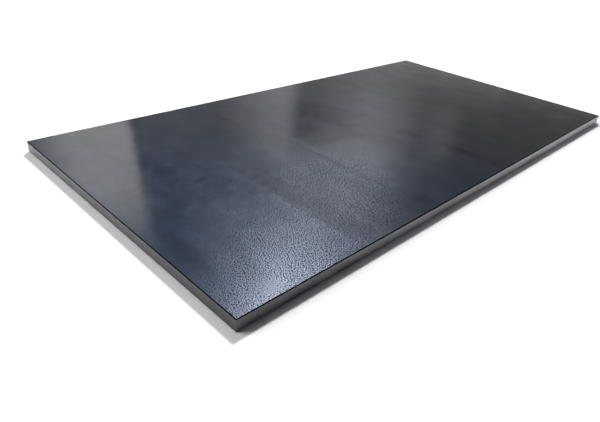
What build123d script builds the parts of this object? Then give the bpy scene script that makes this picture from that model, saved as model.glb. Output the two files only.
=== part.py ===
from build123d import *

import os

# Hot-rolled steel plate, cut to size and lying flat. It was rolled as one piece, so it is one solid.
# X runs along the longer sides, Y along the shorter sides and Z up through the thickness.
# The origin is the middle of the underside, on which the plate rests.

# Driving dimensions, in millimetres.
PLATE_LENGTH = 600.0  # along X
PLATE_WIDTH = 300.0  # along Y
PLATE_THICKNESS = 10.0  # along Z

# How far the cut edges are broken, in millimetres.
TOP_EDGE_RADIUS = 0.5  # crisp arris round the upper face
UNDER_EDGE_RADIUS = 0.6  # slightly softer arris round the underside, where the cut broke out
CORNER_ALLOWANCE = 0.2  # what an upright corner has over the rounder arris

# Each arris runs round the plate as one loop, so an upright corner has to be rounder than both.
CORNER_RADIUS = max(TOP_EDGE_RADIUS, UNDER_EDGE_RADIUS) + CORNER_ALLOWANCE


def cut_blank():
    """The plate as cut to its outline, with its upright corners eased and both faces still sharp-edged."""
    outline = RectangleRounded(PLATE_LENGTH, PLATE_WIDTH, CORNER_RADIUS)
    return extrude(outline, amount=PLATE_THICKNESS)


def break_edges(blank):
    """The blank with the arris round its upper face rounded, and then the one round its underside."""
    upper_face = blank.faces().sort_by(Axis.Z)[-1]
    eased = fillet(upper_face.edges(), TOP_EDGE_RADIUS)
    underside = eased.faces().sort_by(Axis.Z)[0]
    return fillet(underside.edges(), UNDER_EDGE_RADIUS)


steel_plate = break_edges(cut_blank())

os.makedirs("parts", exist_ok=True)
export_step(steel_plate, "parts/steel_plate.step")
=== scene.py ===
"""Looks of a hot-rolled steel plate that lies flat on a plain pale floor.

The plate is one piece of rolled stock. Its two broad faces carry blue-grey mill scale, pebbled by one corner
with painted glints and painted shade, the arris round its upper face is painted near-black as shade, and its
four sides are bare cut steel, with painted shade by one corner and painted light further off.
"""

import logging
import math
from dataclasses import dataclass
from enum import Enum
from typing import Any, Sequence, Union

import bpy
import numpy as np
from mathutils import Matrix, Vector


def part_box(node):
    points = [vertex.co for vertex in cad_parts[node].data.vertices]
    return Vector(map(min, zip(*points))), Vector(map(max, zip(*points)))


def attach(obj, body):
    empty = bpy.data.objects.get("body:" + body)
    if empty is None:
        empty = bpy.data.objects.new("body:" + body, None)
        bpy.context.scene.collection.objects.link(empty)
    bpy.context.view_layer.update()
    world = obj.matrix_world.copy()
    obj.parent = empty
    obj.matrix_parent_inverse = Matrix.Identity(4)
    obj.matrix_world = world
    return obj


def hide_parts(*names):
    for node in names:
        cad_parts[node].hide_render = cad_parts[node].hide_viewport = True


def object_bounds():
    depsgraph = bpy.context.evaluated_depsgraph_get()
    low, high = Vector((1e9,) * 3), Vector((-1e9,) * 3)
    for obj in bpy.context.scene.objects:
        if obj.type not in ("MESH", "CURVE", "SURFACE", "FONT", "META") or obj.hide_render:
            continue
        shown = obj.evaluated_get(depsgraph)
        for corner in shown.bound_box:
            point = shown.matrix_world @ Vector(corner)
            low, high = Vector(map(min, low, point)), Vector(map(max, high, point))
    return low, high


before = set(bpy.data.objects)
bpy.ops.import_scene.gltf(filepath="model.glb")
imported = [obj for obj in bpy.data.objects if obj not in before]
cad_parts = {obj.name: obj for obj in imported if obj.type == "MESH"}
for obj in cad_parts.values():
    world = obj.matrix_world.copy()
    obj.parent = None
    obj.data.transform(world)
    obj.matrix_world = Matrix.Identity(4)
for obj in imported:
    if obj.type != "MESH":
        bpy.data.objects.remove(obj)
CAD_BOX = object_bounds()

LOG = logging.getLogger("steel_plate")
MM = 0.001

Colour = tuple[float, float, float]
Span = tuple[float, float]
Value = Union[bpy.types.NodeSocket, float, int, Sequence[float]]

NOISE_MIDDLE = 0.5
NOISE_SPAN: Span = (0.3, 0.7)  # where most of a noise pattern lies
WIDE_SPAN: Span = (0.2, 0.8)  # where all but a trace of a noise pattern lies
BUMP_SPAN: Span = (-0.25, 0.25)  # where most of a pattern about 0 lies
UNIT: Span = (0.0, 1.0)
MIX_INPUTS = (0, 6, 7)  # factor and both colours of a Mix node, whose socket names aren't unique
MIX_OUTPUT = 2


class Zone(Enum):
    """The surfaces of the plate that are finished apart, by the name of their finish."""

    FACE = "mill_scale"
    # near-black painted shade along the upper arris
    ARRIS = "arris_painted_shade"
    SIDE = "cut_steel"


@dataclass(frozen=True)
class Pattern:
    """Cloudy noise: how fine it is, and where in the endless pattern the piece lies."""

    per_metre: float  # patches to a metre
    detail: float = 2.0  # finer layers
    stretch: tuple[float, float, float] = (1.0, 1.0, 1.0)  # below 1 where the patches are drawn out
    shift: tuple[float, float, float] = (0.0, 0.0, 0.0)
    distortion: float = 0.0  # how far the patches are drawn into wisps


class Graph:
    """A node tree under construction, with short calls for the nodes that come again and again."""

    def __init__(self, tree: bpy.types.NodeTree) -> None:
        """Takes over a tree and empties it."""
        self.tree = tree
        tree.nodes.clear()

    def feed(self, socket: bpy.types.NodeSocket, value: Value) -> None:
        """Gives an input its value.

        Args:
            socket: The input.
            value: Another node's output, which is linked, or a constant, which is set.
        """
        if isinstance(value, bpy.types.NodeSocket):
            self.tree.links.new(value, socket)
        else:
            socket.default_value = value

    def node(self, kind: str, inputs: dict[str, Value] | None = None, **settings: Any) -> bpy.types.Node:
        """Adds a node.

        Args:
            kind: The node's type.
            inputs: Values for its inputs, by name.
            settings: Values for its own properties.

        Returns:
            The new node.
        """
        made = self.tree.nodes.new(kind)
        for name, value in settings.items():
            setattr(made, name, value)
        for name, value in (inputs or {}).items():
            self.feed(made.inputs[name], value)
        return made

    def math(self, operation: str, first: Value, second: Value = 0.0) -> bpy.types.NodeSocket:
        """Adds a sum of one or two numbers.

        Args:
            operation: What the node works out.
            first: The first number.
            second: The second number, where the operation takes one.

        Returns:
            The result.
        """
        made = self.node("ShaderNodeMath", operation=operation)
        self.feed(made.inputs[0], first)
        self.feed(made.inputs[1], second)
        return made.outputs[0]

    def vector(self, operation: str, first: Value, second: Value = (0.0, 0.0, 0.0)) -> bpy.types.NodeSocket:
        """Adds a sum of one or two vectors.

        Args:
            operation: What the node works out.
            first: The first vector.
            second: The second vector, or the factor of a scaling.

        Returns:
            The result, a number for a dot product or a length.
        """
        made = self.node("ShaderNodeVectorMath", operation=operation)
        self.feed(made.inputs[0], first)
        self.feed(made.inputs["Scale" if operation == "SCALE" else 1], second)
        return made.outputs["Value" if operation in ("DOT_PRODUCT", "LENGTH") else "Vector"]

    def split(self, vector: Value) -> list[bpy.types.NodeSocket]:
        """Returns the three parts of a vector."""
        return list(self.node("ShaderNodeSeparateXYZ", {"Vector": vector}).outputs)

    def join(self, x: Value, y: Value, z: Value) -> bpy.types.NodeSocket:
        """Returns the vector of three numbers."""
        return self.node("ShaderNodeCombineXYZ", {"X": x, "Y": y, "Z": z}).outputs["Vector"]

    def turned(self, vector: Value, degrees: float) -> bpy.types.NodeSocket:
        """Measures a vector along level axes that are turned about the upright.

        Args:
            vector: The vector.
            degrees: How far the axes are turned.

        Returns:
            The vector along those axes, with no height.
        """
        turn = math.radians(degrees)
        along = self.vector("DOT_PRODUCT", vector, (math.cos(turn), math.sin(turn), 0.0))
        across = self.vector("DOT_PRODUCT", vector, (-math.sin(turn), math.cos(turn), 0.0))
        return self.join(along, across, 0.0)

    def ramp(
        self, value: Value, span: tuple[Value, Value], result: tuple[Value, Value], smooth: bool = False
    ) -> bpy.types.NodeSocket:
        """Turns one range of numbers into another and stops at its ends.

        Args:
            value: The number.
            span: The range that it lies in.
            result: The range that it is turned into.
            smooth: Whether the ends are eased.

        Returns:
            The result.
        """
        made = self.node("ShaderNodeMapRange", interpolation_type="SMOOTHSTEP" if smooth else "LINEAR")
        for socket, number in zip(made.inputs, (value, *span, *result)):
            self.feed(socket, number)
        return made.outputs["Result"]

    def noise(self, place: Value, pattern: Pattern) -> bpy.types.NodeSocket:
        """Adds cloudy noise.

        Args:
            place: The coordinates that it lies on.
            pattern: How it looks.

        Returns:
            The noise, from 0 to 1.
        """
        moved = self.vector("ADD", self.vector("MULTIPLY", place, pattern.stretch), pattern.shift)
        made = self.node("ShaderNodeTexNoise", {"Vector": moved, "Scale": pattern.per_metre})
        self.feed(made.inputs["Detail"], pattern.detail)
        self.feed(made.inputs["Distortion"], pattern.distortion)
        return made.outputs[0]

    def mix(self, factor: Value, first: Value, second: Value) -> bpy.types.NodeSocket:
        """Mixes two colours.

        Args:
            factor: How much of the second there is.
            first: The first colour.
            second: The second colour.

        Returns:
            The mixed colour.
        """
        made = self.node("ShaderNodeMix", data_type="RGBA")
        for index, value in zip(MIX_INPUTS, (factor, first, second)):
            opaque = (*value, 1.0) if isinstance(value, tuple) else value
            self.feed(made.inputs[index], opaque)
        return made.outputs[MIX_OUTPUT]

    def shade(self, colour: Value, amount: Value) -> bpy.types.NodeSocket:
        """Returns a colour made darker or lighter by a factor."""
        return self.vector("SCALE", colour, amount)

    def seen(self) -> bpy.types.NodeSocket:
        """Tells what the camera sees from what only lights.

        Returns:
            1 for what the camera sees, straight, mirrored or through glass, and 0 for the rest.
        """
        path = self.node("ShaderNodeLightPath").outputs
        mirrored = self.math("MAXIMUM", path["Is Glossy Ray"], path["Is Transmission Ray"])
        return self.math("MAXIMUM", path["Is Camera Ray"], mirrored)


class Surface:
    """A material under construction: its graph, its shader and its Object coordinates."""

    def __init__(self, name: str) -> None:
        """Starts a material with one shader.

        Args:
            name: The material's name.
        """
        self.material = bpy.data.materials.new(name)
        self.material.use_nodes = True
        self.graph = Graph(self.material.node_tree)
        self.shader = self.graph.node("ShaderNodeBsdfPrincipled")
        self.graph.node("ShaderNodeOutputMaterial", {"Surface": self.shader.outputs["BSDF"]})
        self.place = self.graph.node("ShaderNodeTexCoord").outputs["Object"]

    def set(self, **inputs: Value) -> None:
        """Sets or links inputs of the shader, by name with _ for a space."""
        for name, value in inputs.items():
            self.graph.feed(self.shader.inputs[name.replace("_", " ")], value)

    def emboss(self, height: Value, depth: float) -> None:
        """Raises the surface by a pattern.

        Args:
            height: The pattern, from 0 to 1.
            depth: How far 1 stands above 0, in metres.
        """
        bump = self.graph.node("ShaderNodeBump", {"Height": height, "Distance": depth, "Strength": 1.0})
        self.set(Normal=bump.outputs["Normal"])


@dataclass(frozen=True)
class Patch:
    """A soft oval patch on a broad face, in millimetres from the middle of the plate."""

    x: float
    y: float
    half_x: float
    half_y: float
    core: float  # share of its reach that is even
    turn: float = 0.0  # degrees from the plate's length to the oval's own

    def reach(self, graph: Graph, place: Value) -> bpy.types.NodeSocket:
        """Measures how far out in the patch a point lies.

        Args:
            graph: The material's graph.
            place: Object coordinates.

        Returns:
            0 in the middle of the patch and 1 at its rim.
        """
        away = graph.vector("SUBTRACT", place, (self.x * MM, self.y * MM, 0.0))
        along = graph.turned(away, self.turn) if self.turn else away
        shares = graph.vector("DIVIDE", along, (self.half_x * MM, self.half_y * MM, 1.0))
        return graph.vector("LENGTH", shares)

    def fade(self, graph: Graph, reach: Value, levels: Span) -> bpy.types.NodeSocket:
        """Returns one level in the core and another past the rim, for a point that lies so far out."""
        return graph.ramp(reach, (self.core, 1.0), levels, smooth=True)


@dataclass(frozen=True)
class Mark:
    """A soft mark on the upper face."""

    patch: Patch
    depth: float  # share of the brightness that it takes, or adds where it is negative


@dataclass(frozen=True)
class Pebbles:
    """A skin of small round pebbles, strongest in one patch."""

    per_metre: float
    lay: float  # degrees from the plate's length to the way that their rows run
    patch: Patch
    strengths: Span  # in the core of the patch, and outside it
    scatter: float = 0.85  # 0 for even rows and 1 for none
    level: float = 0.4  # how far from its middle a pebble is neither high nor low, in pebbles

    def bumps(self, graph: Graph, place: Value) -> bpy.types.NodeSocket:
        """Lays the pebbles out at full strength.

        Args:
            graph: The material's graph.
            place: Object coordinates.

        Returns:
            How high the skin is, about 0.
        """
        rows = graph.turned(place, self.lay)
        inputs = {"Vector": rows, "Scale": self.per_metre, "Randomness": self.scatter}
        cells = graph.node("ShaderNodeTexVoronoi", inputs, voronoi_dimensions="2D")
        return graph.math("SUBTRACT", self.level, cells.outputs["Distance"])

    def strength(self, graph: Graph, place: Value) -> bpy.types.NodeSocket:
        """Returns how strong the pebbles are at a place."""
        return self.patch.fade(graph, self.patch.reach(graph, place), self.strengths)


@dataclass(frozen=True)
class MillScale:
    """Mill scale on the rolled faces: dark, blue in places, streaked, and pebbled by one corner, with painted
    glints and painted shade on the pebbles.
    """

    plate_length: float
    plate_thickness: float
    blue: Colour = (0.126, 0.139, 0.174)
    grey: Colour = (0.142, 0.140, 0.138)
    grey_lean: float = 0.7  # how much greyer one end of the plate is than the other
    drift: Pattern = Pattern(4.0, 3.0, shift=(0.3, 0.2, 0.0))
    roughness: float = 0.08
    pebbled_roughness: float = 0.16
    roughness_sway: Span = (-0.015, 0.015)
    streaks: Pattern = Pattern(1.0, 3.0, stretch=(42.0, 5.0, 1.0), shift=(3.1, 0.4, 0.0))
    streak_shades: Span = (0.91, 1.08)
    clouds: Pattern = Pattern(42.0, 5.0, shift=(0.7, 1.9, 0.0))
    cloud_shades: Span = (0.90, 1.10)
    fine: Pebbles = Pebbles(940.0, -20.0, Patch(-195.0, -112.0, 225.0, 92.0, 0.15, turn=34.0), (1.0, 0.08))
    coarse: Pebbles = Pebbles(640.0, 12.0, Patch(-130.0, -85.0, 80.0, 85.0, 0.4), (0.52, 0.0))
    # a patch by the near corner where the pebbles, with their bump and painted glints, are fainter
    faint_pebbles: Patch = Patch(-267.0, -139.0, 20.0, 13.0, 0.2)
    faint_pebble_levels: Span = (0.35, 1.0)
    # painted glints on the pebble tops and painted shade between them, as factors on the colour
    pebble_glint_shades: Span = (0.12, 1.88)
    pebble_depth: float = 0.06 * MM
    swells: Pattern = Pattern(40.0)
    swell_depth: float = 0.08 * MM
    wisps: Pattern = Pattern(48.0, 4.0, shift=(2.3, 0.9, 0.0), distortion=1.4)
    smudged: Patch = Patch(-228.0, -10.0, 66.0, 74.0, 0.5)
    smudge_levels: Span = (1.0, 0.15)
    smudge_shades: Span = (0.78, 1.22)
    specks_per_metre: float = 22.0
    speck_choice: Span = (0.70, 0.72)  # of numbers from 0 to 1, where a place starts to have a speck
    speck_rim: Span = (0.012, 0.022)  # where a speck ends, in shares of the gap between places
    speck_shades: Span = (1.0, 0.6)
    wander: Pattern = Pattern(90.0, 4.0)
    ragged: Span = (0.5, 1.5)  # factors on the reach of a mark
    marks: tuple[Mark, ...] = (
        Mark(Patch(-115.0, 96.0, 6.0, 32.0, 0.4), 0.16),
        Mark(Patch(-97.0, -45.0, 6.0, 78.0, 0.4), 0.16),
        Mark(Patch(-172.0, -85.0, 18.0, 80.0, 0.6), 0.22),
        Mark(Patch(-4.0, 58.0, 30.0, 52.0, 0.7), 0.14),
        Mark(Patch(26.0, -44.0, 8.0, 22.0, 0.2), 0.30),
        Mark(Patch(34.0, -104.0, 9.0, 36.0, 0.2), 0.36),
        Mark(Patch(80.0, -68.0, 14.0, 22.0, 0.4), 0.10),
        Mark(Patch(-88.0, -136.0, 14.0, 12.0, 0.2), 0.18),
        Mark(Patch(-285.0, -78.0, 10.0, 42.0, 0.3), 0.22),
        Mark(Patch(-233.0, 30.0, 12.0, 14.0, 0.2), 0.22),
        Mark(Patch(-256.0, 0.0, 8.0, 15.0, 0.2), 0.20),
        Mark(Patch(-262.0, -16.0, 18.0, 22.0, 0.3), 0.12),
        Mark(Patch(-240.0, 38.0, 12.0, 24.0, 0.3), 0.12),
        Mark(Patch(-219.0, -2.0, 15.0, 4.5, 0.2), 0.38),
        Mark(Patch(-205.0, 20.0, 5.0, 10.0, 0.2), 0.16),
        Mark(Patch(-198.0, -17.0, 1.8, 1.8, 0.2), 0.60),
        Mark(Patch(-273.0, -64.0, 10.0, 12.0, 0.2), -0.14),
        Mark(Patch(-176.0, 78.0, 8.0, 46.0, 0.3), 0.08),
        Mark(Patch(-138.0, -36.0, 20.0, 16.0, 0.3), -0.07),
    )

    def build(self) -> bpy.types.Material:
        """Makes the material.

        Returns:
            The material.
        """
        surface = Surface(Zone.FACE.value)
        graph = surface.graph
        place = surface.place
        streaks = graph.noise(place, self.streaks)
        clouds = graph.noise(place, self.clouds)
        # the pebbles and their painted glints grow fainter in the patch by the corner
        faint_pebbles = self.faint_pebbles.fade(graph, self.faint_pebbles.reach(graph, place), self.faint_pebble_levels)
        strength = graph.math("MULTIPLY", self.fine.strength(graph, place), faint_pebbles)
        fine = graph.math("MULTIPLY", self.fine.bumps(graph, place), strength)
        coarse = graph.math("MULTIPLY", self.coarse.bumps(graph, place), self.coarse.strength(graph, place))
        pebbles = graph.math("ADD", fine, coarse)
        surface.set(Base_Color=self.colour(graph, place, streaks, clouds, pebbles), Metallic=1.0)
        roughness = graph.ramp(strength, UNIT, (self.roughness, self.pebbled_roughness))
        for pattern in (streaks, clouds):
            roughness = graph.math("ADD", roughness, graph.ramp(pattern, NOISE_SPAN, self.roughness_sway))
        surface.set(Roughness=roughness)
        swell = graph.math("MULTIPLY", graph.noise(place, self.swells), self.swell_depth / self.pebble_depth)
        surface.emboss(graph.math("ADD", swell, pebbles), self.pebble_depth)
        return surface.material

    def colour(
        self, graph: Graph, place: Value, streaks: Value, clouds: Value, pebbles: Value
    ) -> bpy.types.NodeSocket:
        """Mixes the scale's colour, with painted glints on the pebble tops and painted shade between them.

        Args:
            graph: The material's graph.
            place: Object coordinates.
            streaks: Streaks across the plate.
            clouds: Patches a few centimetres wide.
            pebbles: The pebbled skin.

        Returns:
            The colour.
        """
        along = graph.math("DIVIDE", graph.split(place)[0], self.plate_length)
        drift = graph.noise(place, self.drift)
        lean = graph.math("ADD", graph.math("MULTIPLY", along, self.grey_lean), drift)
        colour = graph.mix(graph.ramp(lean, WIDE_SPAN, UNIT), self.blue, self.grey)
        for pattern, span, shades in (
            (streaks, NOISE_SPAN, self.streak_shades),
            (clouds, NOISE_SPAN, self.cloud_shades),
            # painted glints on the pebble tops and painted shade between them
            (pebbles, BUMP_SPAN, self.pebble_glint_shades),
            (self.smudges(graph, place), BUMP_SPAN, self.smudge_shades),
            (self.specks(graph, place), UNIT, self.speck_shades),
        ):
            colour = graph.shade(colour, graph.ramp(pattern, span, shades))
        return graph.shade(colour, self.marked(graph, place))

    def marked(self, graph: Graph, place: Value) -> bpy.types.NodeSocket:
        """Works out how much of the brightness the marks on the upper face leave.

        Args:
            graph: The material's graph.
            place: Object coordinates.

        Returns:
            1 where there is no mark.
        """
        ragged = graph.ramp(graph.noise(place, self.wander), WIDE_SPAN, self.ragged)
        upper = graph.math("GREATER_THAN", graph.split(place)[2], self.plate_thickness / 2)
        level: Value = 1.0
        for mark in self.marks:
            reach = graph.math("MULTIPLY", mark.patch.reach(graph, place), ragged)
            shadow = mark.patch.fade(graph, reach, (mark.depth, 0.0))
            left = graph.math("SUBTRACT", 1.0, graph.math("MULTIPLY", shadow, upper))
            level = graph.math("MULTIPLY", level, left)
        return level

    def smudges(self, graph: Graph, place: Value) -> bpy.types.NodeSocket:
        """Draws wisps that are strong in one patch and faint elsewhere.

        Args:
            graph: The material's graph.
            place: Object coordinates.

        Returns:
            The wisps, about 0.
        """
        wisps = graph.math("SUBTRACT", graph.noise(place, self.wisps), NOISE_MIDDLE)
        share = self.smudged.fade(graph, self.smudged.reach(graph, place), self.smudge_levels)
        return graph.math("MULTIPLY", wisps, share)

    def specks(self, graph: Graph, place: Value) -> bpy.types.NodeSocket:
        """Scatters small dark specks.

        Args:
            graph: The material's graph.
            place: Object coordinates.

        Returns:
            1 in a speck and 0 beside it.
        """
        cells = graph.node("ShaderNodeTexVoronoi", {"Vector": place, "Scale": self.specks_per_metre})
        chosen = graph.ramp(graph.split(cells.outputs["Color"])[0], self.speck_choice, UNIT)
        dot = graph.ramp(cells.outputs["Distance"], self.speck_rim, (1.0, 0.0), smooth=True)
        return graph.math("MULTIPLY", dot, chosen)


@dataclass(frozen=True)
class ArrisPaintedShade:
    """Painted shade: a near-black band along the arris of the upper face, mottled and pitted."""

    black: Colour = (0.003, 0.003, 0.004)
    mottled: Colour = (0.010, 0.010, 0.012)
    mottle: Pattern = Pattern(180.0, 4.0)
    mottled_span: Span = (0.45, 0.75)  # of the mottle, from where it starts to show to where it is full
    roughness: Span = (0.9, 0.7)  # where it is darkest, and where it is mottled
    pits: Pattern = Pattern(900.0)
    pit_depth: float = 0.02 * MM

    def build(self) -> bpy.types.Material:
        """Makes the material.

        Returns:
            The material.
        """
        surface = Surface(Zone.ARRIS.value)
        graph = surface.graph
        mottle = graph.noise(surface.place, self.mottle)
        mottled = graph.ramp(mottle, self.mottled_span, UNIT, smooth=True)
        surface.set(Base_Color=graph.mix(mottled, self.black, self.mottled), Metallic=0.0)
        surface.set(Roughness=graph.ramp(mottle, NOISE_SPAN, self.roughness), Specular_IOR_Level=0.0)
        surface.emboss(graph.noise(surface.place, self.pits), self.pit_depth)
        return surface.material


@dataclass(frozen=True)
class CutFace:
    """Bare steel on the cut sides, with fine upright drag lines, with painted shade by one corner and painted
    light further off.
    """

    painted_shade_corner: tuple[float, float]  # X and Y in metres
    painted_shade_reach: float = 400.0 * MM
    painted_shade_and_light: Span = (0.62, 1.60)  # painted shade at the corner, and painted light past its reach
    steel: Colour = (0.215, 0.214, 0.219)
    roughness: Span = (0.45, 0.57)
    lines: Pattern = Pattern(800.0, stretch=(1.0, 1.0, 0.03))
    line_shades: Span = (0.94, 1.05)
    line_depth: float = 0.01 * MM
    stains: Pattern = Pattern(45.0, 3.0, stretch=(1.0, 1.0, 2.0))
    stain_shades: Span = (0.90, 1.08)

    def build(self) -> bpy.types.Material:
        """Makes the material.

        Returns:
            The material.
        """
        surface = Surface(Zone.SIDE.value)
        graph = surface.graph
        lines = graph.noise(surface.place, self.lines)
        stains = graph.noise(surface.place, self.stains)
        # Painted shade by one corner of the sides, turning to painted light past its reach.
        away = graph.vector("LENGTH", graph.vector("SUBTRACT", surface.place, (*self.painted_shade_corner, 0.0)))
        colour = graph.shade(self.steel, graph.ramp(away, (0.0, self.painted_shade_reach), self.painted_shade_and_light))
        for pattern, shades in ((lines, self.line_shades), (stains, self.stain_shades)):
            colour = graph.shade(colour, graph.ramp(pattern, NOISE_SPAN, shades))
        surface.set(Base_Color=colour, Metallic=1.0)
        surface.set(Roughness=graph.ramp(stains, NOISE_SPAN, self.roughness))
        surface.emboss(lines, self.line_depth)
        return surface.material


@dataclass
class RolledPlate:
    """The plate: one slab with eased edges, its faces a little uneven from the rolls."""

    node: str = "steel_plate"
    slot: str = "rolled_steel"
    corner_radius: float = 0.8 * MM
    upper_arris: float = 0.5 * MM
    lower_arris: float = 0.6 * MM
    rim: float = 1.2 * MM  # how far in from the sides the mesh is fine
    rim_rows: int = 12
    lip: float = 1.2 * MM  # how far up and down from the broad faces the mesh is fine
    lip_rows: int = 12
    mesh_size: float = 3.0 * MM
    core_layers: int = 6
    level_from: float = 0.996  # how level a broad face is at least, 1 for fully
    black_line: float = 0.7 * MM  # how far down the sides the arris's painted shade reaches at most
    line_near: Span = (-280.0 * MM, -120.0 * MM)  # along the plate, where the painted shade line widens
    line_near_share: float = 0.55
    line_far: Span = (100.0 * MM, 240.0 * MM)  # along the plate, where the painted shade line narrows
    line_far_share: float = 0.25
    waves: Pattern = Pattern(9.0)
    wave_depth: float = 0.2 * MM
    cuts: Pattern = Pattern(140.0, stretch=(1.0, 1.0, 0.15))
    cut_depth: float = 0.05 * MM
    nicks: Pattern = Pattern(45.0)
    nick_span: Span = (0.6, 0.75)  # of the pattern, from where a nick starts to where it is deepest
    nick_depth: float = 0.12 * MM
    seed: float = 7.0
    sheet_margin: float = 0.004  # share of the flat layout that is left free round each side

    def build(self) -> bpy.types.Object:
        """Makes the plate and hands it to the frame.

        Returns:
            The finished piece.
        """
        tree = self.tree()
        shell = bpy.data.objects.new("rolled_plate", bpy.data.meshes.new("rolled_plate_start"))
        bpy.context.scene.collection.objects.link(shell)
        modifier = shell.modifiers.new("rolling", "NODES")
        modifier.node_group = tree
        values = self.inputs()
        for socket in tree.interface.items_tree:
            if socket.name in values:
                modifier[socket.identifier] = values[socket.name]
        bpy.context.view_layer.update()
        evaluated = shell.evaluated_get(bpy.context.evaluated_depsgraph_get())
        mesh = bpy.data.meshes.new_from_object(evaluated)
        shell.modifiers.remove(modifier)
        shell.data = mesh
        mesh.name = "rolled_plate"
        self.unwrap(mesh)
        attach(shell, "root")
        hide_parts(self.node)
        LOG.info("rolled_plate: %d vertices, %d faces", len(mesh.vertices), len(mesh.polygons))
        return shell

    def inputs(self) -> dict[str, Any]:
        """Sizes the plate to the frame's own and makes its finishes.

        Returns:
            The values of the tree's inputs, by name.
        """
        low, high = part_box(self.node)
        size = high - low
        return {
            "Length": size.x,
            "Width": size.y,
            "Thickness": size.z,
            "Columns": self.rows(size.x),
            "Rows": self.rows(size.y),
            "Layers": self.core_layers + 2 * self.lip_rows + 1,
            "Rim": self.rim,
            "Rim Rows": self.rim_rows,
            "Lip": self.lip,
            "Lip Rows": self.lip_rows,
            "Corner Radius": self.corner_radius,
            "Upper Arris": self.upper_arris,
            "Lower Arris": self.lower_arris,
            "Black Line": self.black_line,
            "Wave Depth": self.wave_depth,
            "Cut Depth": self.cut_depth,
            "Nick Depth": self.nick_depth,
            "Seed": self.seed,
            Zone.FACE.value: MillScale(size.x, size.z).build(),
            Zone.ARRIS.value: ArrisPaintedShade().build(),
            Zone.SIDE.value: CutFace((low.x, low.y)).build(),
        }

    def rows(self, size: float) -> int:
        """Returns how many rows of points lie across a broad face, dense ones at both ends included."""
        return round((size - 2 * self.rim) / self.mesh_size) + 2 * self.rim_rows + 1

    def tree(self) -> bpy.types.NodeTree:
        """Builds the node tree that rolls, cuts and eases the plate.

        Returns:
            The tree.
        """
        tree = bpy.data.node_groups.new("rolled_plate", "GeometryNodeTree")
        graph = Graph(tree)
        counts = ("Columns", "Rows", "Layers", "Rim Rows", "Lip Rows")
        sizes = ("Length", "Width", "Thickness", "Rim", "Lip")
        rounds = ("Corner Radius", "Upper Arris", "Lower Arris")
        relief = ("Black Line", "Wave Depth", "Cut Depth", "Nick Depth", "Seed")
        kinds = {name: "NodeSocketInt" for name in counts}
        kinds.update({name: "NodeSocketFloat" for name in (*sizes, *rounds, *relief)})
        kinds.update({zone.value: "NodeSocketMaterial" for zone in Zone})
        for name, kind in kinds.items():
            tree.interface.new_socket(name=name, in_out="INPUT", socket_type=kind)
        tree.interface.new_socket(name="Geometry", in_out="OUTPUT", socket_type="NodeSocketGeometry")
        given = graph.node("NodeGroupInput").outputs
        blank = graph.node("GeometryNodeMeshCube", {"Size": (2.0, 2.0, 2.0)})
        for axis, count in (("X", "Columns"), ("Y", "Rows"), ("Z", "Layers")):
            graph.feed(blank.inputs[f"Vertices {axis}"], given[count])
        eased = graph.node("GeometryNodeSetPosition", {"Geometry": blank.outputs["Mesh"]})
        graph.feed(eased.inputs["Position"], self.eased_place(graph, given))
        rolled = graph.node("GeometryNodeSetPosition", {"Geometry": eased.outputs["Geometry"]})
        graph.feed(rolled.inputs["Offset"], self.relief(graph, given))
        smooth = graph.node("GeometryNodeSetShadeSmooth", {"Geometry": rolled.outputs["Geometry"]})
        whole = graph.node("GeometryNodeRealizeInstances", {"Geometry": smooth.outputs["Geometry"]})
        dressed = self.dressed(graph, given, whole.outputs["Geometry"])
        graph.node("NodeGroupOutput", {"Geometry": dressed})
        return tree

    def graded(
        self, graph: Graph, coordinate: Value, half: Value, rim: Value, rim_rows: Value, rows: Value
    ) -> bpy.types.NodeSocket:
        """Spreads evenly spaced rows of points so that they stand closer beside both ends.

        Args:
            graph: The tree's graph.
            coordinate: Where a row is, from -1 to 1.
            half: Half the length that the rows cover.
            rim: How far from each end the close rows reach.
            rim_rows: How many close rows there are at each end.
            rows: How many rows there are in all.

        Returns:
            Where the row goes.
        """
        gaps = graph.math("SUBTRACT", rows, 1.0)
        rim_share = graph.math("DIVIDE", graph.math("MULTIPLY", rim_rows, 2.0), gaps)
        core_share = graph.math("SUBTRACT", 1.0, rim_share)
        reach = graph.math("ABSOLUTE", coordinate)
        inner = graph.ramp(reach, (0.0, core_share), (0.0, graph.math("SUBTRACT", half, rim)))
        outer = graph.ramp(reach, (core_share, 1.0), (0.0, rim))
        return graph.math("MULTIPLY", graph.math("ADD", inner, outer), graph.math("SIGN", coordinate))

    def eased_place(self, graph: Graph, given: Any) -> bpy.types.NodeSocket:
        """Works out where each point of the blank goes when the slab's edges are eased.

        Args:
            graph: The tree's graph.
            given: The tree's inputs.

        Returns:
            The place of the point.
        """
        parts = graph.split(graph.node("GeometryNodeInputPosition").outputs["Position"])
        half_x = graph.math("MULTIPLY", given["Length"], 0.5)
        half_y = graph.math("MULTIPLY", given["Width"], 0.5)
        half_z = graph.math("MULTIPLY", given["Thickness"], 0.5)
        x = self.graded(graph, parts[0], half_x, given["Rim"], given["Rim Rows"], given["Columns"])
        y = self.graded(graph, parts[1], half_y, given["Rim"], given["Rim Rows"], given["Rows"])
        z = self.graded(graph, parts[2], half_z, given["Lip"], given["Lip Rows"], given["Layers"])
        reach_x = graph.math("ABSOLUTE", x)
        reach_y = graph.math("ABSOLUTE", y)
        depth_x = graph.math("SUBTRACT", half_x, reach_x)
        depth_y = graph.math("SUBTRACT", half_y, reach_y)
        depth = graph.math("MINIMUM", depth_x, depth_y)

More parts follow.
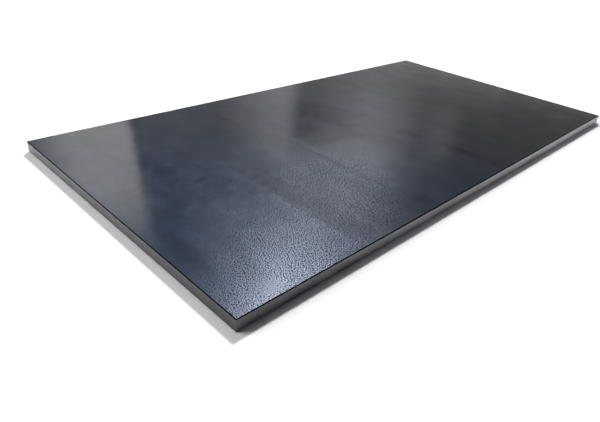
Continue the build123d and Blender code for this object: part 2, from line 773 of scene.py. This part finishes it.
        # A point beside an upright corner moves from its square ring to a round one.
        inner_x = graph.math("SUBTRACT", half_x, given["Corner Radius"])
        inner_y = graph.math("SUBTRACT", half_y, given["Corner Radius"])
        over_x = graph.math("MAXIMUM", graph.math("SUBTRACT", reach_x, inner_x), 0.0)
        over_y = graph.math("MAXIMUM", graph.math("SUBTRACT", reach_y, inner_y), 0.0)
        sign_x = graph.math("SIGN", x)
        sign_y = graph.math("SIGN", y)
        over = graph.join(graph.math("MULTIPLY", over_x, sign_x), graph.math("MULTIPLY", over_y, sign_y), 0.0)
        outward = graph.vector("NORMALIZE", over)
        core_x = graph.math("MULTIPLY", graph.math("MINIMUM", reach_x, inner_x), sign_x)
        core_y = graph.math("MULTIPLY", graph.math("MINIMUM", reach_y, inner_y), sign_y)
        ring = graph.vector("SCALE", outward, graph.math("MAXIMUM", over_x, over_y))
        place = graph.vector("ADD", graph.join(core_x, core_y, z), ring)

        # A point beside an arris moves onto its round.
        for height, radius, down in (
            (graph.math("SUBTRACT", half_z, z), given["Upper Arris"], -1.0),
            (graph.math("ADD", half_z, z), given["Lower Arris"], 1.0),
        ):
            inward = graph.math("MAXIMUM", graph.math("SUBTRACT", radius, depth), 0.0)
            below = graph.math("MAXIMUM", graph.math("SUBTRACT", radius, height), 0.0)
            length = graph.vector("LENGTH", graph.join(inward, below, 0.0))
            kept = graph.math("DIVIDE", radius, graph.math("MAXIMUM", length, radius))
            spare = graph.math("SUBTRACT", 1.0, kept)
            back = graph.math("MULTIPLY", inward, graph.math("MULTIPLY", spare, -1.0))
            drop = graph.math("MULTIPLY", below, graph.math("MULTIPLY", spare, down))
            pull = graph.vector("ADD", graph.vector("SCALE", outward, back), graph.join(0.0, 0.0, drop))
            place = graph.vector("ADD", place, pull)
        return graph.vector("ADD", place, graph.join(0.0, 0.0, half_z))

    def relief(self, graph: Graph, given: Any) -> bpy.types.NodeSocket:
        """Works out how far each point lies inside the ideal surface.

        Args:
            graph: The tree's graph.
            given: The tree's inputs.

        Returns:
            The offset of the point, always inwards.
        """
        place = graph.node("GeometryNodeInputPosition").outputs["Position"]
        normal = graph.node("GeometryNodeInputNormal").outputs["Normal"]
        upright = graph.split(normal)[2]
        flat = graph.math("MULTIPLY", upright, upright)
        side = graph.math("SUBTRACT", 1.0, flat)
        halfway = 0.5 * 0.5  # what flat times side is halfway round an arris
        arris = graph.math("DIVIDE", graph.math("MULTIPLY", flat, side), halfway)
        seed = graph.join(given["Seed"], given["Seed"], given["Seed"])
        seeded = graph.vector("ADD", place, seed)
        waves = graph.noise(seeded, self.waves)
        cuts = graph.noise(seeded, self.cuts)
        nicks = graph.ramp(graph.noise(seeded, self.nicks), self.nick_span, UNIT, smooth=True)
        wave = graph.math("MULTIPLY", graph.math("MULTIPLY", waves, given["Wave Depth"]), flat)
        cut = graph.math("MULTIPLY", graph.math("MULTIPLY", cuts, given["Cut Depth"]), side)
        nick = graph.math("MULTIPLY", graph.math("MULTIPLY", nicks, given["Nick Depth"]), arris)
        inward = graph.math("ADD", graph.math("ADD", wave, cut), nick)
        return graph.vector("SCALE", normal, graph.math("MULTIPLY", inward, -1.0))

    def dressed(self, graph: Graph, given: Any, geometry: Value) -> bpy.types.NodeSocket:
        """Gives each zone of the plate its finish.

        Args:
            graph: The tree's graph.
            given: The tree's inputs.
            geometry: The plate.

        Returns:
            The dressed plate.
        """
        lean = graph.split(graph.node("GeometryNodeInputNormal").outputs["Normal"])[2]
        x, _, height = graph.split(graph.node("GeometryNodeInputPosition").outputs["Position"])
        near = graph.ramp(x, self.line_near, (self.line_near_share, 1.0))
        far = graph.ramp(x, self.line_far, (1.0, self.line_far_share))
        # The arris zone, which carries painted shade, reaches the black line down the sides, less towards
        # both ends.
        line = graph.math("MULTIPLY", given["Black Line"], graph.math("MULTIPLY", near, far))
        edge = graph.math("LESS_THAN", graph.math("ABSOLUTE", lean), self.level_from)
        depth = graph.math("ADD", given["Upper Arris"], line)
        upper = graph.math("GREATER_THAN", height, graph.math("SUBTRACT", given["Thickness"], depth))
        wheres = {Zone.FACE: True, Zone.SIDE: edge, Zone.ARRIS: graph.math("MULTIPLY", edge, upper)}
        for zone, where in wheres.items():
            dress = graph.node("GeometryNodeSetMaterial", {"Geometry": geometry, "Selection": where})
            graph.feed(dress.inputs["Material"], given[zone.value])
            geometry = dress.outputs["Geometry"]
        return geometry

    def unwrap(self, mesh: bpy.types.Mesh) -> None:
        """Lays the plate's six sides out flat, all at one scale.

        The two broad faces lie one above the other, then the two long sides, and the short sides share a row.

        Args:
            mesh: The plate's mesh, which gets a UV map.
        """
        low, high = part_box(self.node)
        size = high - low
        margin = self.sheet_margin
        scale = (1.0 - 6 * margin) / (2 * size.y + 3 * size.z)
        corners = len(mesh.loops)
        points = np.empty(len(mesh.vertices) * 3)
        mesh.vertices.foreach_get("co", points)
        index = np.empty(corners, int)
        mesh.loops.foreach_get("vertex_index", index)
        normals = np.empty(len(mesh.polygons) * 3)
        mesh.polygons.foreach_get("normal", normals)
        counts = np.empty(len(mesh.polygons), int)
        mesh.polygons.foreach_get("loop_total", counts)
        point = points.reshape(-1, 3)[index] * scale
        normal = np.repeat(normals.reshape(-1, 3), counts, axis=0)
        axis = np.abs(normal).argmax(1)
        ahead = np.take_along_axis(normal, axis[:, None], 1)[:, 0] > 0
        turn = np.where(ahead, 1.0, -1.0)
        wide, thick = size.y * scale, size.z * scale
        across = np.choose(axis, [point[:, 1] * turn, -point[:, 0] * turn, point[:, 0] * turn])
        centre = np.where(axis == 0, np.where(ahead, 0.75, 0.25), 0.5)
        rise = np.where(axis == 2, point[:, 1] + wide / 2, point[:, 2])
        faces = np.where(ahead, margin, wide + 2 * margin)
        long_sides = np.where(ahead, 2 * wide + 3 * margin, 2 * wide + thick + 4 * margin)
        short_sides = np.full(corners, 2 * wide + 2 * thick + 5 * margin)
        base = np.choose(axis, [short_sides, long_sides, faces])
        layer = mesh.uv_layers.new(name="OFBake")
        layer.data.foreach_set("uv", np.stack([centre + across, base + rise], 1).ravel())


@dataclass(frozen=True)
class Heading:
    """A direction from the plate."""

    azimuth: float  # degrees from +Y towards +X
    elevation: float  # degrees above the floor

    def vector(self) -> Vector:
        """Returns the direction as a unit vector."""
        turn, rise = math.radians(self.azimuth), math.radians(self.elevation)
        return Vector((math.sin(turn) * math.cos(rise), math.cos(turn) * math.cos(rise), math.sin(rise)))


@dataclass(frozen=True)
class PlateCamera:
    """The camera, where the photograph was taken from."""

    image_width: float = 600.0  # pixels
    focal_length: float = 512.0  # pixels
    axis_column: float = 284.9  # pixels from the left, where the optical axis meets the image
    position: tuple[float, float, float] = (-439.83 * MM, -313.61 * MM, 209.16 * MM)
    heading: Heading = Heading(46.321, -30.55)
    roll: float = 5.023  # degrees, the right side up
    clip_start: float = 1.0 * MM

    def build(self) -> bpy.types.Object:
        """Makes the camera and makes it the scene's own.

        Returns:
            The camera.
        """
        data = bpy.data.cameras.new("plate_camera")
        data.lens = data.sensor_width * self.focal_length / self.image_width
        data.shift_x = 0.5 - self.axis_column / self.image_width
        data.clip_start = self.clip_start
        ahead = self.heading.vector()
        level = ahead.cross(Vector((0.0, 0.0, 1.0))).normalized()
        right = Matrix.Rotation(math.radians(-self.roll), 3, ahead) @ level
        turn = Matrix((right, right.cross(ahead), -ahead)).transposed().to_4x4()
        camera = bpy.data.objects.new("plate_camera", data)
        camera.matrix_world = Matrix.Translation(self.position) @ turn
        bpy.context.scene.collection.objects.link(camera)
        bpy.context.scene.camera = camera
        return camera

    def mirrored(self, height: float) -> Vector:
        """Returns where the camera's mirror image lies under a level surface at that height."""
        x, y, z = self.position
        return Vector((x, y, 2 * height - z))


@dataclass(frozen=True)
class SoftLamp:
    """A distant soft lamp that lights the plate and the floor and throws the shadow."""

    name: str
    heading: Heading
    width: float  # degrees across, as seen from the plate
    level: float  # what a white level surface gets from it

    def build(self) -> bpy.types.Object:
        """Makes the lamp.

        Returns:
            The lamp, which the reflector cards stand for in reflections.
        """
        data = bpy.data.lights.new(self.name, "SUN")
        data.angle = math.radians(self.width)
        data.energy = self.level * math.pi / math.sin(math.radians(self.heading.elevation))
        lamp = bpy.data.objects.new(self.name, data)
        lamp.rotation_euler = self.heading.vector().to_track_quat("Z", "Y").to_euler()
        lamp.visible_glossy = False
        bpy.context.scene.collection.objects.link(lamp)
        return lamp


@dataclass(frozen=True)
class Fades:
    """Shares of a card over which its glow fades in from each edge."""

    left: float
    right: float
    foot: float
    head: float


@dataclass(frozen=True)
class ReflectorCard:
    """An upright soft card, which shows only as a reflection."""

    name: str
    azimuths: Span  # degrees from +Y towards +X, where its reflection starts and ends
    elevations: Span  # degrees, its lower and upper edge
    level: float  # brightness, 1 for white
    tint: Colour
    fades: Fades
    lean: float = 0.0  # degrees that it is tipped, to the left where positive
    distance: float = 4.0

    def build(self, eye: Vector) -> bpy.types.Object:
        """Makes the card.

        Args:
            eye: The point from which its angles are taken.

        Returns:
            The card.
        """
        middle = Heading(sum(self.azimuths) / 2, 0.0).vector()
        half_turn = math.radians(self.azimuths[1] - self.azimuths[0]) / 2
        low, high = (math.tan(math.radians(angle)) * self.distance for angle in self.elevations)
        half_width = math.tan(half_turn) * self.distance
        half_height = (high - low) / 2
        mesh = bpy.data.meshes.new(self.name)
        mesh.from_pydata([(-1, -1, 0), (1, -1, 0), (1, 1, 0), (-1, 1, 0)], [], [(0, 1, 2, 3)])
        mesh.materials.append(self.glow())
        card = bpy.data.objects.new(self.name, mesh)
        place = eye + middle * self.distance + Vector((0.0, 0.0, (low + high) / 2))
        facing = (-middle).to_track_quat("Z", "Y").to_matrix().to_4x4()
        turn = facing @ Matrix.Rotation(math.radians(self.lean), 4, "Z")
        size = Matrix.Diagonal((half_width, half_height, 1.0, 1.0))
        card.matrix_world = Matrix.Translation(place) @ turn @ size
        card.visible_camera = False
        card.visible_diffuse = False
        card.visible_shadow = False
        bpy.context.scene.collection.objects.link(card)
        return card

    def glow(self) -> bpy.types.Material:
        """Makes the card's even glow, which fades towards its edges and lets other cards show through.

        Returns:
            The material.
        """
        material = bpy.data.materials.new(self.name)
        material.use_nodes = True
        graph = Graph(material.node_tree)
        across, up, _ = graph.split(graph.node("ShaderNodeTexCoord").outputs["Object"])
        level: Value = self.level
        for part, end, fade in (
            (across, -1.0, self.fades.left),
            (across, 1.0, self.fades.right),
            (up, -1.0, self.fades.foot),
            (up, 1.0, self.fades.head),
        ):
            span = (end, end - 2.0 * end * fade)
            level = graph.math("MULTIPLY", level, graph.ramp(part, span, UNIT, smooth=True))
        glow = graph.node("ShaderNodeEmission", {"Color": (*self.tint, 1.0), "Strength": level})
        shared = graph.node("ShaderNodeBsdfTransparent")
        both = graph.node("ShaderNodeAddShader")
        graph.feed(both.inputs[0], glow.outputs["Emission"])
        graph.feed(both.inputs[1], shared.outputs["BSDF"])
        graph.node("ShaderNodeOutputMaterial", {"Surface": both.outputs["Shader"]})
        return material


@dataclass(frozen=True)
class StudioFloor:
    """A plain pale floor, shown white, that keeps the plate's shadow."""

    size: float = 60.0
    gap: float = 0.05 * MM
    pale: Colour = (0.80, 0.80, 0.80)
    white: Colour = (1.25, 1.25, 1.25)

    def build(self) -> bpy.types.Object:
        """Makes the floor.

        Returns:
            The floor.
        """
        half = self.size / 2
        corners = ((-half, -half), (half, -half), (half, half), (-half, half))
        mesh = bpy.data.meshes.new("studio_floor")
        mesh.from_pydata([(x, y, -self.gap) for x, y in corners], [], [(0, 1, 2, 3)])
        material = bpy.data.materials.new("studio_floor")
        material.use_nodes = True
        graph = Graph(material.node_tree)
        paint = graph.node("ShaderNodeBsdfDiffuse", {"Color": graph.mix(graph.seen(), self.pale, self.white)})
        graph.node("ShaderNodeOutputMaterial", {"Surface": paint.outputs["BSDF"]})
        mesh.materials.append(material)
        floor = bpy.data.objects.new("studio_floor", mesh)
        bpy.context.scene.collection.objects.link(floor)
        return floor


@dataclass(frozen=True)
class StudioWorld:
    """The room round the plate: white to the camera, and in reflections white low down and dim above."""

    white: Colour = (1.0, 1.0, 1.0)
    behind_low: Colour = (0.153, 0.151, 0.153)
    behind_high: Colour = (0.128, 0.150, 0.192)
    before: Colour = (0.385, 0.430, 0.510)
    behind_azimuth: float = 85.0  # degrees from +Y towards +X
    white_to: float = 5.0  # degrees above the floor
    dim_from: float = 16.5  # degrees above the floor
    blue_from: float = 17.0  # degrees above the floor
    blue_to: float = 26.0  # degrees above the floor
    fill: Colour = (0.008, 0.0076, 0.0071)  # what it lights the floor and the plate with

    def build(self) -> bpy.types.World:
        """Makes the world.

        Returns:
            The world.
        """
        world = bpy.data.worlds.new("studio")
        world.use_nodes = True
        graph = Graph(world.node_tree)
        look = graph.node("ShaderNodeTexCoord").outputs["Generated"]
        away = tuple(Heading(self.behind_azimuth, 0.0).vector())
        ahead = graph.ramp(graph.vector("DOT_PRODUCT", look, away), (-1.0, 1.0), UNIT)
        cold = self.climb(graph, look, self.blue_from, self.blue_to)
        behind = graph.mix(cold, self.behind_low, self.behind_high)
        room = graph.mix(ahead, self.before, behind)
        mirrored = graph.mix(self.climb(graph, look, self.white_to, self.dim_from), self.white, room)
        straight = graph.node("ShaderNodeLightPath").outputs["Is Camera Ray"]
        shown = graph.mix(straight, mirrored, self.white)
        glow = graph.node("ShaderNodeBackground", {"Color": graph.mix(graph.seen(), self.fill, shown)})
        graph.node("ShaderNodeOutputWorld", {"Surface": glow.outputs["Background"]})
        bpy.context.scene.world = world
        return world

    def climb(self, graph: Graph, look: Value, start: float, end: float) -> bpy.types.NodeSocket:
        """Returns 0 for a ray that looks below one elevation, in degrees, and 1 for one above another."""
        span = (math.sin(math.radians(start)), math.sin(math.radians(end)))
        return graph.ramp(graph.split(look)[2], span, UNIT, smooth=True)


LAMPS = (
    SoftLamp("key_lamp", Heading(49.5, 44.5), width=8.0, level=0.50),
    SoftLamp("side_lamp", Heading(-42.0, 31.0), width=40.0, level=0.27),
    SoftLamp("top_lamp", Heading(5.0, 62.0), width=50.0, level=0.11),
)

WARM = (1.0, 0.95, 0.90)
PANEL = (1.0, 0.93, 0.79)
PLAIN = (1.0, 1.0, 1.0)
COOL = (1.0, 1.0, 1.04)
COLD = (0.74, 1.0, 1.45)
SOFT = Fades(0.5, 0.5, 0.5, 0.5)

CARDS = (
    ReflectorCard("side_card", (14.6, 28.2), (4.0, 38.0), 0.89, PANEL, Fades(0.56, 0.07, 0.60, 0.35), -6.0),
    ReflectorCard("wall_card", (28.5, 64.0), (20.0, 58.0), 0.12, COLD, Fades(0.02, 0.6, 0.2, 0.3)),
    ReflectorCard("low_card", (28.0, 54.0), (4.0, 29.0), 0.09, WARM, Fades(0.02, 0.3, 0.1, 0.5)),
    ReflectorCard("key_card", (38.5, 57.5), (33.0, 53.0), 2.60, PLAIN, SOFT),
    ReflectorCard("spot_card", (42.5, 54.0), (36.5, 46.0), 2.70, PLAIN, SOFT),
    ReflectorCard("haze_card", (31.2, 69.5), (20.3, 54.3), 1.38, PLAIN, SOFT),
    ReflectorCard("narrow_card", (37.0, 47.4), (2.0, 29.0), 0.33, WARM, Fades(0.75, 0.22, 0.1, 0.3)),
    ReflectorCard("broad_card", (47.0, 63.5), (10.5, 30.0), 0.41, COOL, Fades(0.5, 0.5, 0.5, 0.4)),
    ReflectorCard("middle_card", (42.5, 61.0), (21.0, 31.0), 0.57, COOL, Fades(0.4, 0.4, 0.45, 0.4)),
    ReflectorCard("faint_card", (60.5, 66.0), (15.0, 25.0), 0.14, COOL, Fades(0.5, 0.5, 0.4, 0.4)),
    ReflectorCard("end_card", (59.5, 69.0), (6.0, 20.0), 0.050, COOL, Fades(0.4, 0.10, 0.2, 0.5)),
    ReflectorCard("front_card", (88.0, 150.0), (0.0, 45.0), 1.25, PLAIN, Fades(0.25, 0.25, 0.02, 0.4)),
)


def main() -> None:
    """Builds the plate, its floor, its light and the camera."""
    logging.basicConfig(level=logging.INFO, format="%(name)s %(message)s")
    bpy.context.scene.view_settings.view_transform = "Standard"
    plate = RolledPlate().build()
    camera = PlateCamera()
    LOG.info("%s at %s", camera.build().name, camera.position)
    LOG.info("%s under %s", StudioFloor().build().name, plate.name)
    LOG.info("%s round %s", StudioWorld().build().name, plate.name)
    for lamp in LAMPS:
        LOG.info("%s lights %s", lamp.build().name, plate.name)
    eye = camera.mirrored(CAD_BOX[1].z)
    for card in CARDS:
        LOG.info("%s shows in %s", card.build(eye).name, plate.name)


if __name__ == "__main__":
    main()
